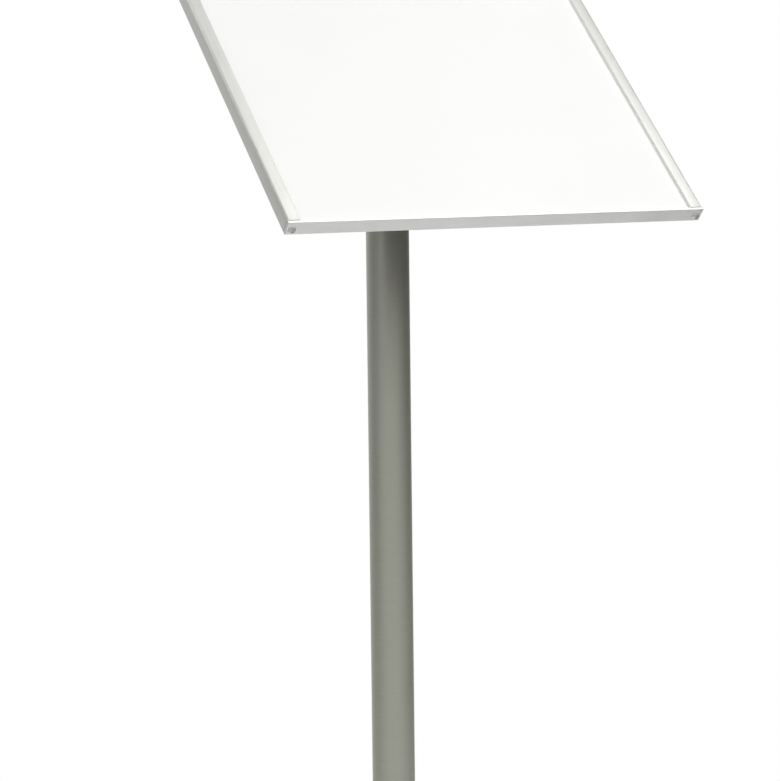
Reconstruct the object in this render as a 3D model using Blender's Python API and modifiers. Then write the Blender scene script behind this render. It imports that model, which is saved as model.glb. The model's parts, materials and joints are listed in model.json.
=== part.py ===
"""Information post: a slanted A2 display frame on a tilting head, a round tube and a round base.

Metres, +Z up. The origin is on the floor under the middle of the tube, and readers stand on the -Y side.
"""

import math

import bmesh
import bpy

# Clearances
SEAT = 0.0003  # between faces that touch
SCREW_CLEARANCE = 0.0003  # around a screw or bolt in its hole
GROOVE_CLEARANCE = 0.0002  # on each face of a plate in its groove
GROOVE_SIDE_CLEARANCE = 0.0005  # between a plate's edge and the floor of its groove
END_CLEARANCE = 0.0005  # between the info plate and each closing strip

# Info plate and back panel
PLATE_WIDTH = 0.420
PLATE_LENGTH = 0.594
PLATE_THICKNESS = 0.003
BACK_THICKNESS = 0.003
PLATE_CORNER = 0.002

# Side rail extrusion, seen along its length
RAIL_FACE = 0.013  # width of the front face
RAIL_DEPTH = 0.015
RAIL_OUTER_WALL = 0.0022
RAIL_INNER_WALL = 0.001
RAIL_FRONT_WALL = 0.0018
RAIL_LIP = 0.003  # how far the info plate lies below the front face
RAIL_WEB = 0.0012  # between the two grooves
RAIL_REAR_FLANGE = 0.0014
RAIL_FRONT_RADIUS = 0.002
RAIL_EDGE_RADIUS = 0.0005
GROOVE_DEPTH = 0.0025
PORT_DEPTH = 0.0095  # the screw port's axis, behind the front face
PORT_WALL = 0.0012

# Closing strips at the rails' ends
STRIP_THICKNESS = 0.0035
STRIP_EDGE = 0.0004

# Every button-head screw
SCREW_POINT = 0.3  # chamfer at its end, as a share of its core radius
SOCKET_DEPTH = 0.6  # share of the head's height

# Strip screws: button heads that cut their thread in the rails' screw ports
STRIP_SCREW_RADIUS = 0.002
STRIP_SCREW_CORE = 0.0016
STRIP_SCREW_HEAD_RADIUS = 0.0038
STRIP_SCREW_HEAD_HEIGHT = 0.0022
STRIP_SCREW_KEY = 0.0025  # across the flats of the socket
STRIP_SCREW_GRIP = 0.012  # length inside the rail

# Panel bracket: a flange with two cheeks
TILT_DEGREES = 42.0  # of the frame at rest, from level
PIVOT_TO_FLANGE = 0.0209  # from the pivot axis up to the flange
FLANGE_WIDTH = 0.120
FLANGE_LENGTH = 0.140
FLANGE_THICKNESS = 0.005
FLANGE_CORNER = 0.012
FLANGE_HOLE_INSET = 0.015
CHEEK_THICKNESS = 0.006
CHEEK_RADIUS = 0.015
CHEEK_ROOT_HALF = 0.022  # half the cheek's length where it meets the flange
CHEEK_FILLET = 0.006

# Bracket and head screws
FIXING_RADIUS = 0.0025
FIXING_CORE = 0.0021
FIXING_HEAD_RADIUS = 0.00475
FIXING_HEAD_HEIGHT = 0.0027
FIXING_KEY = 0.003

# Pivot bolt, nut and washers
PIVOT_RADIUS = 0.005
PIVOT_HEAD_RADIUS = 0.00875
PIVOT_HEAD_HEIGHT = 0.0055
PIVOT_KEY = 0.006
NUT_ACROSS_FLATS = 0.017
NUT_HEIGHT = 0.008
NUT_DOME_RADIUS = 0.0075
NUT_GRIP = 0.011  # how far the bolt reaches into the nut
WASHER_RADIUS = 0.010
WASHER_THICKNESS = 0.002
FRICTION_WASHER_RADIUS = 0.0135
FRICTION_WASHER_THICKNESS = 0.001

# Head plug and its tongue
TONGUE_THICKNESS = 0.012
TONGUE_RADIUS = 0.015
HEAD_CLEARANCE = 0.003  # between the turning cheeks and the plug's collar
HEAD_COLLAR_HEIGHT = 0.005
HEAD_COLLAR_EDGE = 0.001
HEAD_PLUG_LENGTH = 0.050
HEAD_SCREW_DROP = 0.022  # from the top of the tube down to the head screws
HEAD_SCREW_GRIP = 0.007  # length inside the plug
HEAD_SCREW_COUNT = 3
HEAD_SCREW_START = 90.0  # degrees: the first head screw faces away from the reader

# Tube
TUBE_RADIUS = 0.022
TUBE_WALL = 0.002
TUBE_LENGTH = 1.014

# Base
PAD_RADIUS = 0.186
PAD_THICKNESS = 0.002
BASE_RADIUS = 0.190
BASE_THICKNESS = 0.010
BASE_EDGE_RADIUS = 0.004
BASE_UNDER_CHAMFER = 0.001
COLLAR_HEIGHT = 0.014
COLLAR_WIDTH = 0.013
COLLAR_LIP = 0.002
FOOT_INSERT_LENGTH = 0.040
BASE_SCREW_RADIUS = 0.006
BASE_SCREW_HEAD_RADIUS = 0.012
BASE_SCREW_RIM = 0.0005
BASE_SCREW_KEY = 0.008
BASE_SCREW_SOCKET = 0.004  # depth of the socket
BASE_SCREW_GRIP = 0.030  # length inside the foot insert

# Facets of a full turn
FINE_STEPS = 64
SMALL_STEPS = 24
HEXAGON = 6

# Facets of a half turn
HALF_TURN_STEPS = 16

# Facets of a quarter turn
DOME_STEPS = 4
EDGE_STEPS = 6
CORNER_STEPS = 3

# Cutters and meshes
THROUGH = 4  # a through hole's cutter is this many walls long
MERGE_DISTANCE = 0.00001

# Levels across the frame's depth, counted from the rails' front face
PLATE_FRONT = -RAIL_LIP - GROOVE_CLEARANCE
PLATE_REAR = PLATE_FRONT - PLATE_THICKNESS
FRONT_GROOVE_END = PLATE_REAR - GROOVE_CLEARANCE
REAR_GROOVE_START = FRONT_GROOVE_END - RAIL_WEB
BACK_FRONT = REAR_GROOVE_START - GROOVE_CLEARANCE
BACK_REAR = BACK_FRONT - BACK_THICKNESS
REAR_GROOVE_END = BACK_REAR - GROOVE_CLEARANCE
RAIL_FLANGE_END = REAR_GROOVE_END - RAIL_REAR_FLANGE

# Frame sizes that follow
RAIL_BODY = RAIL_FACE - GROOVE_DEPTH  # from the outer side to the groove floors
FRAME_WIDTH = PLATE_WIDTH + 2 * (GROOVE_SIDE_CLEARANCE + RAIL_BODY)
STRIP_GAP = PLATE_LENGTH + 2 * END_CLEARANCE
FRAME_LENGTH = STRIP_GAP + 2 * STRIP_THICKNESS
RAIL_LENGTH = STRIP_GAP - 2 * SEAT
PORT_OFFSET = (RAIL_OUTER_WALL + RAIL_BODY - RAIL_INNER_WALL) / 2
FRONT_LEVEL = PIVOT_TO_FLANGE + FLANGE_THICKNESS + SEAT - BACK_REAR
FRAME_MIDDLE = FRONT_LEVEL - RAIL_DEPTH / 2

# Heights that follow
PLATE_BOTTOM = PAD_THICKNESS + SEAT
BASE_TOP = PLATE_BOTTOM + BASE_THICKNESS
TUBE_BOTTOM = BASE_TOP + SEAT
TUBE_TOP = TUBE_BOTTOM + TUBE_LENGTH
HEAD_COLLAR_BOTTOM = TUBE_TOP + SEAT
HEAD_COLLAR_TOP = HEAD_COLLAR_BOTTOM + HEAD_COLLAR_HEIGHT
PIVOT_HEIGHT = HEAD_COLLAR_TOP + CHEEK_RADIUS + HEAD_CLEARANCE

# Places along the pivot, counted from the middle of the tongue
FRICTION_WASHER_START = TONGUE_THICKNESS / 2 + SEAT
CHEEK_START = FRICTION_WASHER_START + FRICTION_WASHER_THICKNESS + SEAT
CHEEK_END = CHEEK_START + CHEEK_THICKNESS
WASHER_START = CHEEK_END + SEAT
WASHER_END = WASHER_START + WASHER_THICKNESS
PIVOT_SEAT = WASHER_END + SEAT


def clear_scene():
    for obj in list(bpy.data.objects):
        bpy.data.objects.remove(obj, do_unlink=True)


def new_collection(name):
    made = bpy.data.collections.new(name)
    bpy.context.scene.collection.children.link(made)
    return made


def principled(name, colour, roughness, metallic):
    """A Principled BSDF material. The colour is linear RGB."""
    made = bpy.data.materials.new(name)
    made.use_nodes = True
    shader = made.node_tree.nodes["Principled BSDF"]
    shader.inputs["Base Color"].default_value = (*colour, 1.0)
    shader.inputs["Roughness"].default_value = roughness
    shader.inputs["Metallic"].default_value = metallic
    made.diffuse_color = (*colour, 1.0)
    return made


clear_scene()
POST = new_collection("information_post")
CUTTERS = new_collection("cutters")

ANODISED = principled("anodised_aluminium", (0.66, 0.67, 0.64), 0.35, 1.0)
STAINLESS = principled("brushed_stainless_steel", (0.33, 0.34, 0.30), 0.32, 1.0)
CAST = principled("cast_aluminium", (0.42, 0.42, 0.41), 0.5, 1.0)
WHITE_PLATE = principled("white_coated_plate", (0.90, 0.90, 0.90), 0.45, 0.0)
BACK_SHEET = principled("dark_anodised_sheet", (0.05, 0.05, 0.05), 0.5, 1.0)
FASTENER = principled("stainless_fastener", (0.50, 0.50, 0.49), 0.3, 1.0)
NYLON = principled("black_nylon", (0.02, 0.02, 0.02), 0.6, 0.0)
RUBBER = principled("floor_rubber", (0.03, 0.03, 0.03), 0.85, 0.0)

TILT_AXIS = bpy.data.objects.new("tilt_axis", None)
POST.objects.link(TILT_AXIS)
TILT_AXIS.location = (0, 0, PIVOT_HEIGHT)
TILT_AXIS.rotation_euler = (math.radians(TILT_DEGREES), 0, 0)


def add_object(name, mesh, where, turn=(0, 0, 0), parent=None):
    made = bpy.data.objects.new(name, mesh)
    POST.objects.link(made)
    made.location = where
    made.rotation_euler = turn
    made.parent = parent
    return made


def finish(obj, material, sharp=35.0):
    """Gives the piece its material and shades its round faces smooth."""
    obj.data.materials.clear()
    obj.data.materials.append(material)
    obj.data.shade_smooth()
    obj.data.set_sharp_from_angle(angle=math.radians(sharp))
    return obj


def as_cutter(obj):
    for owner in list(obj.users_collection):
        owner.objects.unlink(obj)
    CUTTERS.objects.link(obj)
    obj.hide_render = True
    obj.display_type = "WIRE"
    return obj


def combine(obj, other, operation):
    """A Boolean of obj with other, which becomes a hidden helper."""
    modifier = obj.modifiers.new(f"{operation.lower()}_{other.name}", "BOOLEAN")
    modifier.operation = operation
    modifier.solver = "EXACT"
    modifier.object = as_cutter(other)
    return obj


def bevel(obj, width, segments=2):
    modifier = obj.modifiers.new("edges", "BEVEL")
    modifier.width = width
    modifier.segments = segments
    modifier.limit_method = "ANGLE"
    return obj


def box(name, size, where, turn=(0, 0, 0), parent=None):
    shape = bmesh.new()
    bmesh.ops.create_cube(shape, size=1.0)
    bmesh.ops.scale(shape, vec=size, verts=shape.verts)
    mesh = bpy.data.meshes.new(name)
    shape.to_mesh(mesh)
    shape.free()
    return add_object(name, mesh, where, turn, parent)


def prism(name, radius, height, sides, where, turn=(0, 0, 0), parent=None):
    """A cylinder, or with few sides a polygon bar, centred on where."""
    shape = bmesh.new()
    bmesh.ops.create_cone(
        shape, cap_ends=True, segments=sides, radius1=radius, radius2=radius, depth=height
    )
    mesh = bpy.data.meshes.new(name)
    shape.to_mesh(mesh)
    shape.free()
    return add_object(name, mesh, where, turn, parent)


def turned(name, profile, steps, where, turn=(0, 0, 0), parent=None, ring=False):
    """A turned piece. The profile runs down its outer side and, for a ring, back up its bore."""
    mesh = bpy.data.meshes.new(name)
    count = len(profile)
    edges = [(i, i + 1) for i in range(count - 1)]
    if ring:
        edges.append((count - 1, 0))
    mesh.from_pydata([(r, 0, z) for r, z in profile], edges, [])
    made = add_object(name, mesh, where, turn, parent)
    modifier = made.modifiers.new("turn", "SCREW")
    modifier.steps = steps
    modifier.render_steps = steps
    modifier.use_merge_vertices = True
    modifier.merge_threshold = MERGE_DISTANCE
    modifier.use_normal_calculate = False
    return made


def arc(centre, radius, start, end, steps):
    """Points on an arc, with angles in degrees."""
    points = []
    for i in range(steps + 1):
        angle = math.radians(start + (end - start) * i / steps)
        points.append((centre[0] + radius * math.cos(angle), centre[1] + radius * math.sin(angle)))
    return points


def circle(centre, radius, steps):
    return arc(centre, radius, 0, 360, steps)[:-1]


def rounded_rectangle(width, height, radius, steps=EDGE_STEPS):
    x, y = width / 2 - radius, height / 2 - radius
    corners = (((x, y), 0), ((-x, y), 90), ((-x, -y), 180), ((x, -y), 270))
    points = []
    for centre, start in corners:
        points += arc(centre, radius, start, start + 90, steps)
    return points


def extruded(name, outlines, thickness, where, turn=(0, 0, 0), parent=None):
    """A flat outline with its holes, extruded evenly to both sides and made a closed mesh."""
    curve = bpy.data.curves.new(name, "CURVE")
    curve.dimensions = "2D"
    curve.fill_mode = "BOTH"
    curve.extrude = thickness / 2
    for points in outlines:
        spline = curve.splines.new("POLY")
        spline.points.add(len(points) - 1)
        spline.use_cyclic_u = True
        for point, (x, y) in zip(spline.points, points):
            point.co = (x, y, 0, 1)
    guide = bpy.data.objects.new(name + "_outline", curve)
    CUTTERS.objects.link(guide)
    graph = bpy.context.evaluated_depsgraph_get()
    mesh = bpy.data.meshes.new_from_object(guide.evaluated_get(graph))
    bpy.data.objects.remove(guide, do_unlink=True)
    shape = bmesh.new()
    shape.from_mesh(mesh)
    bmesh.ops.remove_doubles(shape, verts=shape.verts, dist=MERGE_DISTANCE)
    bmesh.ops.recalc_face_normals(shape, faces=shape.faces)
    shape.to_mesh(mesh)
    shape.free()
    mesh.name = name
    return add_object(name, mesh, where, turn, parent)


def dome(radius, height, steps):
    """Profile of a button head, from the middle of its top to its rim."""
    ball = (radius**2 + height**2) / (2 * height)
    reach = math.degrees(math.asin(radius / ball))
    points = arc((0, height - ball), ball, 90, 90 - reach, steps)
    return [(0, height)] + points[1:-1] + [(radius, 0)]


def cut_socket(screw, key, length, level):
    """A hexagon socket: its cutter is length long and centred on the top face, at level."""
    cutter = prism(screw.name + "_socket", key / math.sqrt(3), length, HEXAGON, (0, 0, level), parent=screw)
    return combine(screw, cutter, "DIFFERENCE")


def button_screw(name, core, head_radius, head_height, key, length, where, turn, parent=None):
    """A button-head socket screw: its origin is under the head, and it points down its own Z."""
    tip = core * SCREW_POINT
    profile = dome(head_radius, head_height, DOME_STEPS)
    profile += [(core, 0), (core, tip - length), (core - tip, -length), (0, -length)]
    screw = turned(name, profile, SMALL_STEPS, where, turn, parent)
    cut_socket(screw, key, 2 * SOCKET_DEPTH * head_height, head_height)
    return finish(screw, FASTENER)


def hole(target, name, radius, length, where, turn=(0, 0, 0), parent=None):
    return combine(target, prism(name, radius, length, SMALL_STEPS, where, turn, parent), "DIFFERENCE")


def rail_section(side):
    """Outlines of a side rail: across the frame from its outer side, then depth. side is 1 or -1."""
    front, back, edge = RAIL_FRONT_RADIUS, RAIL_DEPTH, RAIL_EDGE_RADIUS
    outer = arc((front, -front), front, 180, 90, EDGE_STEPS)
    outer += arc((RAIL_FACE - edge, -edge), edge, 90, 0, CORNER_STEPS)
    outer += [(RAIL_FACE, -RAIL_LIP), (RAIL_BODY, -RAIL_LIP)]
    outer += [(RAIL_BODY, FRONT_GROOVE_END), (RAIL_FACE, FRONT_GROOVE_END)]
    outer += [(RAIL_FACE, REAR_GROOVE_START), (RAIL_BODY, REAR_GROOVE_START)]
    outer += [(RAIL_BODY, REAR_GROOVE_END), (RAIL_FACE, REAR_GROOVE_END)]
    outer += [(RAIL_FACE, RAIL_FLANGE_END), (RAIL_BODY, RAIL_FLANGE_END)]
    outer += arc((RAIL_BODY - edge, edge - back), edge, 0, -90, CORNER_STEPS)
    outer += arc((edge, edge - back), edge, 270, 180, CORNER_STEPS)
    port = STRIP_SCREW_CORE + SCREW_CLEARANCE
    inner_side = RAIL_BODY - RAIL_INNER_WALL
    chamber = [(RAIL_OUTER_WALL, -RAIL_FRONT_WALL), (inner_side, -RAIL_FRONT_WALL), (inner_side, -PORT_DEPTH)]
    chamber += arc((PORT_OFFSET, -PORT_DEPTH), port + PORT_WALL, 0, 180, HALF_TURN_STEPS)
    chamber.append((RAIL_OUTER_WALL, -PORT_DEPTH))
    bore = circle((PORT_OFFSET, -PORT_DEPTH), port, SMALL_STEPS)
    return [[(side * x, y) for x, y in outline] for outline in (outer, chamber, bore)]


def build_rails():
    for name, side in (("left_rail", 1), ("right_rail", -1)):
        where = (-side * FRAME_WIDTH / 2, 0, FRONT_LEVEL)
        rail = extruded(name, rail_section(side), RAIL_LENGTH, where, (math.pi / 2, 0, 0), TILT_AXIS)
        finish(rail, ANODISED)


def build_closing_strip(end, side):
    """A flat strip across the rails' ends and its two screws. side is -1 at the lower end, 1 at the upper."""
    middle = side * (STRIP_GAP + STRIP_THICKNESS) / 2
    size = (FRAME_WIDTH, STRIP_THICKNESS, RAIL_DEPTH)
    strip = box(f"{end}_strip", size, (0, middle, FRAME_MIDDLE), parent=TILT_AXIS)
    bevel(strip, STRIP_EDGE)
    face = side * (FRAME_LENGTH / 2 + SEAT)
    turn = (-side * math.pi / 2, 0, 0)
    for hand, across in (("left", -1), ("right", 1)):
        x = across * (FRAME_WIDTH / 2 - PORT_OFFSET)
        level = FRONT_LEVEL - PORT_DEPTH
        radius = STRIP_SCREW_RADIUS + SCREW_CLEARANCE
        where = (x, middle, level)
        length = THROUGH * STRIP_THICKNESS
        hole(strip, f"{end}_strip_hole_{hand}", radius, length, where, turn, TILT_AXIS)
        button_screw(
            f"{end}_strip_screw_{hand}",
            STRIP_SCREW_CORE,
            STRIP_SCREW_HEAD_RADIUS,
            STRIP_SCREW_HEAD_HEIGHT,
            STRIP_SCREW_KEY,
            2 * SEAT + STRIP_THICKNESS + STRIP_SCREW_GRIP,
            (x, face, level),
            turn,
            TILT_AXIS,
        )
    finish(strip, ANODISED)


def flange_holes():
    """Places of the bracket screws, across and along the flange."""
    x = FLANGE_WIDTH / 2 - FLANGE_HOLE_INSET
    y = FLANGE_LENGTH / 2 - FLANGE_HOLE_INSET
    return [(-x, -y), (x, -y), (-x, y), (x, y)]


def build_plates():
    outline = rounded_rectangle(PLATE_WIDTH, PLATE_LENGTH, PLATE_CORNER, CORNER_STEPS)
    level = FRONT_LEVEL + (PLATE_FRONT + PLATE_REAR) / 2
    plate = extruded("info_plate", [outline], PLATE_THICKNESS, (0, 0, level), parent=TILT_AXIS)
    finish(plate, WHITE_PLATE)
    radius = FIXING_CORE + SCREW_CLEARANCE
    holes = [circle(where, radius, SMALL_STEPS) for where in flange_holes()]
    level = FRONT_LEVEL + (BACK_FRONT + BACK_REAR) / 2
    back = extruded("back_panel", [outline, *holes], BACK_THICKNESS, (0, 0, level), parent=TILT_AXIS)
    finish(back, BACK_SHEET)


def cheek_outline():
    """A cheek seen along the pivot: its sides run from the flange and meet the round end as tangents."""
    root = PIVOT_TO_FLANGE + FLANGE_THICKNESS / 2
    corner = (CHEEK_ROOT_HALF, PIVOT_TO_FLANGE)
    reach = math.hypot(*corner)
    away = math.degrees(math.atan2(corner[1], corner[0]) - math.acos(CHEEK_RADIUS / reach))
    points = [(-CHEEK_ROOT_HALF, root), (-CHEEK_ROOT_HALF, PIVOT_TO_FLANGE)]
    points += arc((0, 0), CHEEK_RADIUS, -180 - away, away, HALF_TURN_STEPS)
    return points + [(CHEEK_ROOT_HALF, PIVOT_TO_FLANGE), (CHEEK_ROOT_HALF, root)]


def build_bracket():
    level = PIVOT_TO_FLANGE + FLANGE_THICKNESS / 2
    outline = rounded_rectangle(FLANGE_WIDTH, FLANGE_LENGTH, FLANGE_CORNER)
    radius = FIXING_RADIUS + SCREW_CLEARANCE
    holes = [circle(where, radius, SMALL_STEPS) for where in flange_holes()]
    bracket = extruded("panel_bracket", [outline, *holes], FLANGE_THICKNESS, (0, 0, level), parent=TILT_AXIS)
    bore = circle((0, 0), PIVOT_RADIUS + SCREW_CLEARANCE, SMALL_STEPS)
    along = (math.pi / 2, 0, math.pi / 2)
    for hand, side in (("left", -1), ("right", 1)):
        middle = (side * (CHEEK_START + CHEEK_END) / 2, 0, 0)
        cheek = extruded(
            f"cheek_{hand}", [cheek_outline(), bore], CHEEK_THICKNESS, middle, along, TILT_AXIS
        )
        combine(bracket, cheek, "UNION")
        sink = FLANGE_THICKNESS / 4
        inner, outer = CHEEK_END - CHEEK_THICKNESS / 2, CHEEK_END + CHEEK_FILLET
        section = [(inner, PIVOT_TO_FLANGE + sink), (outer, PIVOT_TO_FLANGE + sink), (outer, PIVOT_TO_FLANGE)]
        section += arc((outer, PIVOT_TO_FLANGE - CHEEK_FILLET), CHEEK_FILLET, 90, 180, EDGE_STEPS)[1:]
        section.append((inner, PIVOT_TO_FLANGE - CHEEK_FILLET))
        fillet = extruded(
            f"cheek_fillet_{hand}",
            [[(side * x, z) for x, z in section]],
            2 * CHEEK_ROOT_HALF - 2 * CHEEK_FILLET,
            (0, 0, 0),
            (math.pi / 2, 0, 0),
            TILT_AXIS,
        )
        combine(bracket, fillet, "UNION")
    finish(bracket, CAST)
    for number, (x, y) in enumerate(flange_holes(), 1):
        button_screw(
            f"bracket_screw_{number}",
            FIXING_CORE,
            FIXING_HEAD_RADIUS,
            FIXING_HEAD_HEIGHT,
            FIXING_KEY,
            2 * SEAT + FLANGE_THICKNESS + BACK_THICKNESS,
            (x, y, PIVOT_TO_FLANGE - SEAT),
            (math.pi, 0, 0),
            TILT_AXIS,
        )


def washer(name, radius, thickness, start, side, material):
    """A flat washer on the pivot, whose inner face is start away from the middle of the tongue."""
    bore = PIVOT_RADIUS + SCREW_CLEARANCE
    half = thickness / 2
    profile = [(bore, half), (radius, half), (radius, -half), (bore, -half)]
    where = (side * (start + half), 0, PIVOT_HEIGHT)
    ring = turned(name, profile, SMALL_STEPS, where, (0, math.pi / 2, 0), ring=True)
    return finish(ring, material)


def build_pivot():
    for hand, side in (("left", -1), ("right", 1)):
        washer(
            f"friction_washer_{hand}",
            FRICTION_WASHER_RADIUS,
            FRICTION_WASHER_THICKNESS,
            FRICTION_WASHER_START,
            side,
            NYLON,
        )
        washer(f"pivot_washer_{hand}", WASHER_RADIUS, WASHER_THICKNESS, WASHER_START, side, FASTENER)
    button_screw(
        "pivot_bolt",
        PIVOT_RADIUS,
        PIVOT_HEAD_RADIUS,
        PIVOT_HEAD_HEIGHT,
        PIVOT_KEY,
        2 * PIVOT_SEAT + NUT_GRIP,
        (-PIVOT_SEAT, 0, PIVOT_HEIGHT),
        (0, -math.pi / 2, 0),
    )
    build_domed_nut()


def build_domed_nut():
    """A hexagon nut with a dome over the bolt's end, on the right of the head."""
    corner = NUT_ACROSS_FLATS / math.sqrt(3)
    chamfer = (corner - NUT_ACROSS_FLATS / 2) / 2
    blank = [(0, NUT_HEIGHT), (corner - chamfer, NUT_HEIGHT), (corner, NUT_HEIGHT - chamfer)]
    blank += [(corner, chamfer), (corner - chamfer, 0), (0, 0)]
    where, turn = (PIVOT_SEAT, 0, PIVOT_HEIGHT), (0, math.pi / 2, 0)
    nut = turned("pivot_nut", blank, SMALL_STEPS * 2, where, turn)
    hexagon = prism("nut_hexagon", corner, THROUGH * NUT_HEIGHT, HEXAGON, (0, 0, 0), parent=nut)
    combine(nut, hexagon, "INTERSECT")
    sunk = NUT_HEIGHT / 2
    cap = arc((0, NUT_HEIGHT), NUT_DOME_RADIUS, 90, 0, EDGE_STEPS)
    cap = [(0, NUT_HEIGHT + NUT_DOME_RADIUS)] + cap[1:] + [(NUT_DOME_RADIUS, sunk), (0, sunk)]
    combine(nut, turned("nut_dome", cap, SMALL_STEPS, (0, 0, 0), parent=nut), "UNION")
    depth = NUT_GRIP + SEAT
    hole(nut, "nut_bore", PIVOT_RADIUS + SCREW_CLEARANCE, 2 * depth, (0, 0, 0), parent=nut)
    finish(nut, FASTENER)


def build_head_plug():
    """The plug in the tube's top end, with a collar over the tube's rim and the tongue of the pivot."""
    radius = TUBE_RADIUS - TUBE_WALL - SEAT
    low = HEAD_COLLAR_BOTTOM - HEAD_PLUG_LENGTH
    edge = HEAD_COLLAR_EDGE
    profile = [(0, HEAD_COLLAR_TOP), (TUBE_RADIUS - edge, HEAD_COLLAR_TOP)]
    profile += [(TUBE_RADIUS, HEAD_COLLAR_TOP - edge), (TUBE_RADIUS, HEAD_COLLAR_BOTTOM)]
    profile += [(radius, HEAD_COLLAR_BOTTOM), (radius, low + edge), (radius - edge, low), (0, low)]
    plug = turned("head_plug", profile, FINE_STEPS, (0, 0, 0))
    foot = HEAD_COLLAR_TOP - HEAD_COLLAR_HEIGHT / 2 - PIVOT_HEIGHT
    outline = arc((0, 0), TONGUE_RADIUS, 0, 180, HALF_TURN_STEPS)
    outline = [(TONGUE_RADIUS, foot), *outline, (-TONGUE_RADIUS, foot)]
    bore = circle((0, 0), PIVOT_RADIUS + SCREW_CLEARANCE, SMALL_STEPS)
    along = (math.pi / 2, 0, math.pi / 2)
    tongue = extruded("tongue", [outline, bore], TONGUE_THICKNESS, (0, 0, PIVOT_HEIGHT), along)
    combine(plug, tongue, "UNION")
    return plug


def build_tube():
    bore = TUBE_RADIUS - TUBE_WALL
    profile = [(bore, TUBE_TOP), (TUBE_RADIUS, TUBE_TOP), (TUBE_RADIUS, TUBE_BOTTOM), (bore, TUBE_BOTTOM)]
    return turned("post_tube", profile, FINE_STEPS, (0, 0, 0), ring=True)


def build_head_screws(tube, plug):
    """Button-head screws through the tube's wall into the head plug."""
    level = TUBE_TOP - HEAD_SCREW_DROP
    length = SEAT + TUBE_WALL + SEAT + HEAD_SCREW_GRIP
    for number in range(1, HEAD_SCREW_COUNT + 1):
        angle = math.radians(HEAD_SCREW_START + 360 * (number - 1) / HEAD_SCREW_COUNT)
        outward = (math.cos(angle), math.sin(angle))
        turn = (0, math.pi / 2, angle)
        reach = TUBE_RADIUS + SEAT
        where = (outward[0] * reach, outward[1] * reach, level)
        name = f"head_screw_{number}"
        radius = FIXING_RADIUS + SCREW_CLEARANCE
        hole(tube, name + "_tube_hole", radius, THROUGH * TUBE_WALL, where, turn)
        depth = 2 * (length + SCREW_CLEARANCE)
        hole(plug, name + "_plug_hole", FIXING_CORE + SCREW_CLEARANCE, depth, where, turn)
        button_screw(
            name, FIXING_CORE, FIXING_HEAD_RADIUS, FIXING_HEAD_HEIGHT, FIXING_KEY, length, where, turn
        )
    finish(tube, STAINLESS)
    finish(plug, CAST)


def build_base():
    edge = BASE_UNDER_CHAMFER
    profile = [(0, PAD_THICKNESS), (PAD_RADIUS, PAD_THICKNESS), (PAD_RADIUS, 0), (0, 0)]
    finish(turned("floor_pad", profile, FINE_STEPS, (0, 0, 0)), RUBBER)

    bore = BASE_SCREW_RADIUS + SCREW_CLEARANCE
    cone = BASE_SCREW_HEAD_RADIUS + SCREW_CLEARANCE
    profile = [(bore, BASE_TOP)]
    round_centre = (BASE_RADIUS - BASE_EDGE_RADIUS, BASE_TOP - BASE_EDGE_RADIUS)
    profile += arc(round_centre, BASE_EDGE_RADIUS, 90, 0, EDGE_STEPS)
    profile += [(BASE_RADIUS, PLATE_BOTTOM + edge), (BASE_RADIUS - edge, PLATE_BOTTOM)]
    rim = PLATE_BOTTOM + BASE_SCREW_RIM
    profile += [(cone, PLATE_BOTTOM), (cone, rim), (bore, rim + cone - bore)]
    finish(turned("base_plate", profile, FINE_STEPS, (0, 0, 0), ring=True), STAINLESS)

    core, head = BASE_SCREW_RADIUS, BASE_SCREW_HEAD_RADIUS
    length = BASE_THICKNESS + SEAT + BASE_SCREW_GRIP
    profile = [(0, 0), (head, 0), (head, -BASE_SCREW_RIM), (core, core - head - BASE_SCREW_RIM)]
    profile += [(core, edge - length), (core - edge, -length), (0, -length)]
    screw = turned("base_screw", profile, SMALL_STEPS, (0, 0, PLATE_BOTTOM), (math.pi, 0, 0))
    finish(cut_socket(screw, BASE_SCREW_KEY, 2 * BASE_SCREW_SOCKET, 0), FASTENER)

    radius = TUBE_RADIUS - TUBE_WALL - SEAT
    top = TUBE_BOTTOM + FOOT_INSERT_LENGTH
    profile = [(bore, top), (radius - edge, top), (radius, top - edge)]
    profile += [(radius, TUBE_BOTTOM), (bore, TUBE_BOTTOM)]
    finish(turned("foot_insert", profile, FINE_STEPS, (0, 0, 0), ring=True), CAST)

    bore, low = TUBE_RADIUS + SEAT, BASE_TOP + SEAT
    outer = bore + COLLAR_WIDTH
    high, lip = low + COLLAR_HEIGHT, COLLAR_LIP
    profile = [(bore, high), (bore + lip, high)]
    wide, tall = COLLAR_WIDTH - lip, COLLAR_HEIGHT - 2 * lip
    for x, z in arc((1, 1), 1, 180, 270, EDGE_STEPS):  # a quarter of a unit circle, stretched to the flare
        profile.append((bore + lip + wide * x, low + lip + tall * z))
    profile += [(outer, low), (bore, low)]
    finish(turned("base_collar", profile, FINE_STEPS, (0, 0, 0), ring=True), STAINLESS)


build_base()
build_head_screws(build_tube(), build_head_plug())
build_pivot()
build_bracket()
build_plates()
build_rails()
build_closing_strip("bottom", -1)
build_closing_strip("top", 1)
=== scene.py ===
"""Looks for the information post: a slanted display frame on a brushed tube and a round base.

Metres, +Z up. The frame of solids gives every place. The pieces here show its solids with finer forms.
"""

import json
import math

import bmesh
import bpy
from mathutils import Matrix, Vector


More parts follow.
